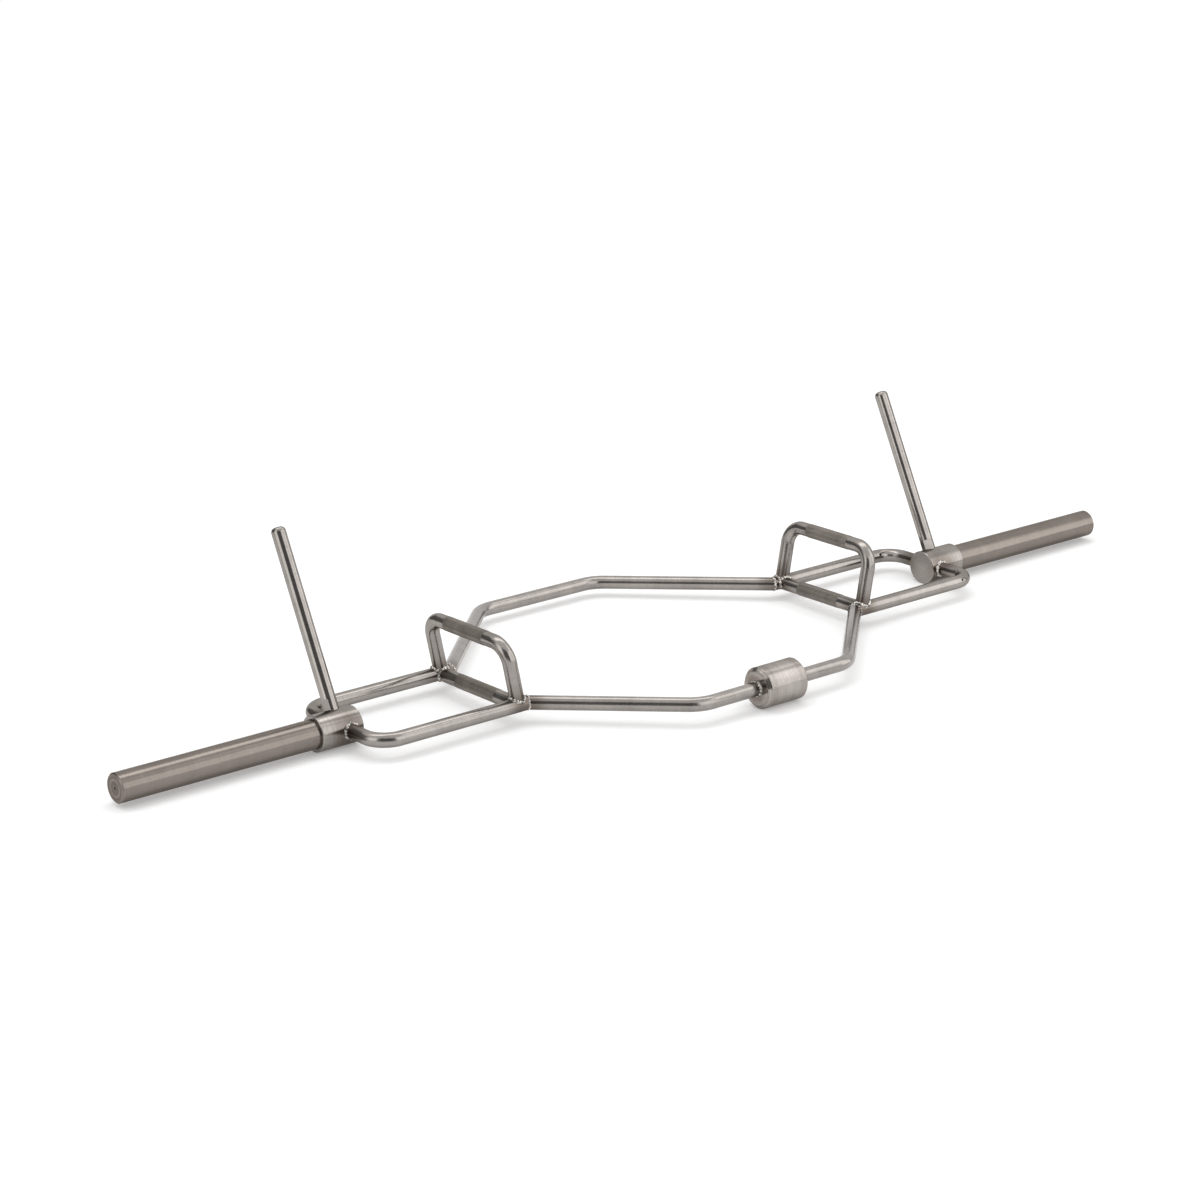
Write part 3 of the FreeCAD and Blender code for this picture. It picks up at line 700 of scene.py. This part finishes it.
for side in SIDES:
    dress(side + "_sleeve", bar_steel)
    dress(side + "_collar", collar_steel)
    dress(side + "_lever", lever_steel)
    dress(side + "_low_grip", grip_steel)
    dress(side + "_high_handle", handle_steel)
    for end in ENDS:
        dress(f"{side}_{end}_rail", rail_steel)
dress("front_hex_tube", front_steel)
dress("rear_hex_tube", rear_steel)
dress("counterweight", counterweight_steel)

# Knurled bands on the four places for hands
rng = random.Random(SEED)
for side, side_x in SIDES.items():
    facing = Matrix.Identity(4) if side_x > 0 else Matrix.Rotation(math.pi, 4, "Z")
    grip = REST @ facing @ Matrix.Translation((GRIP_X, 0, 0))
    lean = Matrix.Rotation(HANDLE_LEAN, 4, "Y")
    top = Matrix.Translation((0, 0, HANDLE_HEIGHT / math.cos(HANDLE_LEAN)))
    knurl_band(side + "_grip_knurl", grip, knurled_steel, rng)
    knurl_band(side + "_handle_knurl", grip @ lean @ top, knurled_steel, rng)

# Weld beads
for side, side_x in SIDES.items():
    weld_piece(f"counterweight_{side}_weld", [(weight_path(side_x), True, BEAD_RADIUS)], bead_steel, rng)
    for end, side_y in ENDS.items():
        round_rail = (collar_path(side_x, side_y), True, BEAD_RADIUS)
        weld_piece(f"{side}_{end}_rail_weld", [round_rail], bead_steel, rng)
        weld_piece(f"{side}_{end}_corner_weld", [
            (crotch_path(side_x, side_y, 1), False, BEAD_RADIUS),
            (crotch_path(side_x, side_y, -1), False, BEAD_RADIUS),
            (foot_path(side_x, side_y), True, BEAD_RADIUS),
            (mitre_path(side_x, side_y), True, BEAD_RADIUS * MITRE_BEAD_SHARE),
        ], bead_steel, rng)


# Floor, studio panels and light, in metres
WHITE = (1.0, 1.0, 1.0, 1.0)


def stage_mesh(name, points, faces, material):
    mesh = bpy.data.meshes.new(name)
    mesh.from_pydata(points, [], faces)
    mesh.materials.append(material)
    item = bpy.data.objects.new(name, mesh)
    bpy.context.scene.collection.objects.link(item)
    return item


def seen(tree):
    """One where a surface or the sky is seen straight, in a reflection or through glass."""
    path = add(tree, "ShaderNodeLightPath").outputs
    straight_or_glossy = maths(tree, "MAXIMUM", path["Is Camera Ray"], path["Is Glossy Ray"])
    return maths(tree, "MAXIMUM", straight_or_glossy, path["Is Transmission Ray"])


FLOOR_HALF = 40.0
FLOOR_COLOUR = (0.90, 0.90, 0.90, 1.0)
FLOOR_LIFT = 0.20


def white_floor():
    """Matt white that keeps the shadow; a faint glow makes it white where it is seen."""
    material, tree = new_material("white_floor")
    matt = add(tree, "ShaderNodeBsdfDiffuse", {"Color": FLOOR_COLOUR})
    glow = add(tree, "ShaderNodeEmission", {"Strength": maths(tree, "MULTIPLY", seen(tree), FLOOR_LIFT)})
    both = add(tree, "ShaderNodeAddShader", {0: matt.outputs[0], 1: glow.outputs[0]})
    to_surface(tree, both)
    corners = [(x * FLOOR_HALF, y * FLOOR_HALF, 0) for x, y in ((-1, -1), (1, -1), (1, 1), (-1, 1))]
    stage_mesh("floor", corners, [(0, 1, 2, 3)], material)


# Bearings in degrees from the X axis; a low tone darkens reflections and a high one lights them
PANEL_SIDES = 24
PANELS = {
    "camera_side_wall": {"bearings": (192, 352), "distance": 7.0, "heights": (0.0, 5.0), "tone": 0.42},
    "camera_flag": {"bearings": (200, 254), "distance": 2.2, "heights": (0.0, 1.9), "tone": 0.18},
    "rear_left_wall": {"bearings": (92, 160), "distance": 6.0, "heights": (0.0, 4.6), "tone": 0.18},
    "left_panel": {"bearings": (172, 198), "distance": 3.2, "heights": (0.1, 2.4), "tone": 1.8},
    "right_panel": {"bearings": (255, 305), "distance": 3.0, "heights": (0.1, 2.8), "tone": 1.85},
    "far_right_panel": {"bearings": (310, 342), "distance": 3.0, "heights": (0.1, 4.4), "tone": 2.2},
}


def stage_panel(name, bearings, distance, heights, tone):
    """A curved panel round the floor that only reflections show."""
    material, tree = new_material(name)
    to_surface(tree, add(tree, "ShaderNodeEmission", {"Color": WHITE, "Strength": tone}))
    low, high = bearings
    points = []
    for step in range(PANEL_SIDES + 1):
        bearing = math.radians(low + (high - low) * step / PANEL_SIDES)
        for height in heights:
            points.append((distance * math.cos(bearing), distance * math.sin(bearing), height))
    faces = [(2 * step, 2 * step + 1, 2 * step + 3, 2 * step + 2) for step in range(PANEL_SIDES)]
    panel = stage_mesh(name, points, faces, material)
    panel.visible_camera = False
    panel.visible_diffuse = False
    panel.visible_shadow = False


WORLD_FILL = 0.90


def studio_world():
    """White where it is seen, and a little less as light."""
    world = bpy.data.worlds.new("studio")
    bpy.context.scene.world = world
    world.use_nodes = True
    tree = world.node_tree
    tree.nodes.clear()
    strength = maths(tree, "MULTIPLY_ADD", seen(tree), 1.0 - WORLD_FILL, WORLD_FILL)
    sky = add(tree, "ShaderNodeBackground", {"Color": WHITE, "Strength": strength})
    add(tree, "ShaderNodeOutputWorld", {"Surface": sky.outputs[0]})


SOFTBOX_PLACE = Vector((0.2, 0.7, 3.6))
SOFTBOX_WIDTH = 4.6
SOFTBOX_DEPTH = 1.2
SOFTBOX_POWER = 34.0


def softbox():
    """A long lamp overhead, turned to the middle of the bar."""
    lamp = bpy.data.lights.new("overhead_softbox", "AREA")
    lamp.shape = "RECTANGLE"
    lamp.size = SOFTBOX_WIDTH
    lamp.size_y = SOFTBOX_DEPTH
    lamp.energy = SOFTBOX_POWER
    item = bpy.data.objects.new("overhead_softbox", lamp)
    item.location = SOFTBOX_PLACE
    item.rotation_euler = (-SOFTBOX_PLACE).to_track_quat("-Z", "Y").to_euler()
    bpy.context.scene.collection.objects.link(item)


# The camera's place and direction are fitted to the photograph
CAMERA_PLACE = Vector((-3.401227, -4.025260, 1.844342))
CAMERA_FORWARD = Vector((0.599361, 0.736492, -0.313602))
CAMERA_UP = Vector((0.201657, 0.240211, 0.949543))
CAMERA_LENS = 95.081
CAMERA_SENSOR = 36.0


def fitted_camera():
    data = bpy.data.cameras.new("camera")
    data.lens = CAMERA_LENS
    data.sensor_width = CAMERA_SENSOR
    camera = bpy.data.objects.new("camera", data)
    right = CAMERA_FORWARD.cross(CAMERA_UP)
    turned = Matrix((right, CAMERA_UP, -CAMERA_FORWARD)).transposed()
    camera.matrix_world = Matrix.Translation(CAMERA_PLACE) @ turned.to_4x4()
    bpy.context.scene.collection.objects.link(camera)
    bpy.context.scene.camera = camera


white_floor()
for name, layout in PANELS.items():
    stage_panel(name, **layout)
studio_world()
softbox()
fitted_camera()
bpy.context.scene.view_settings.view_transform = "Standard"
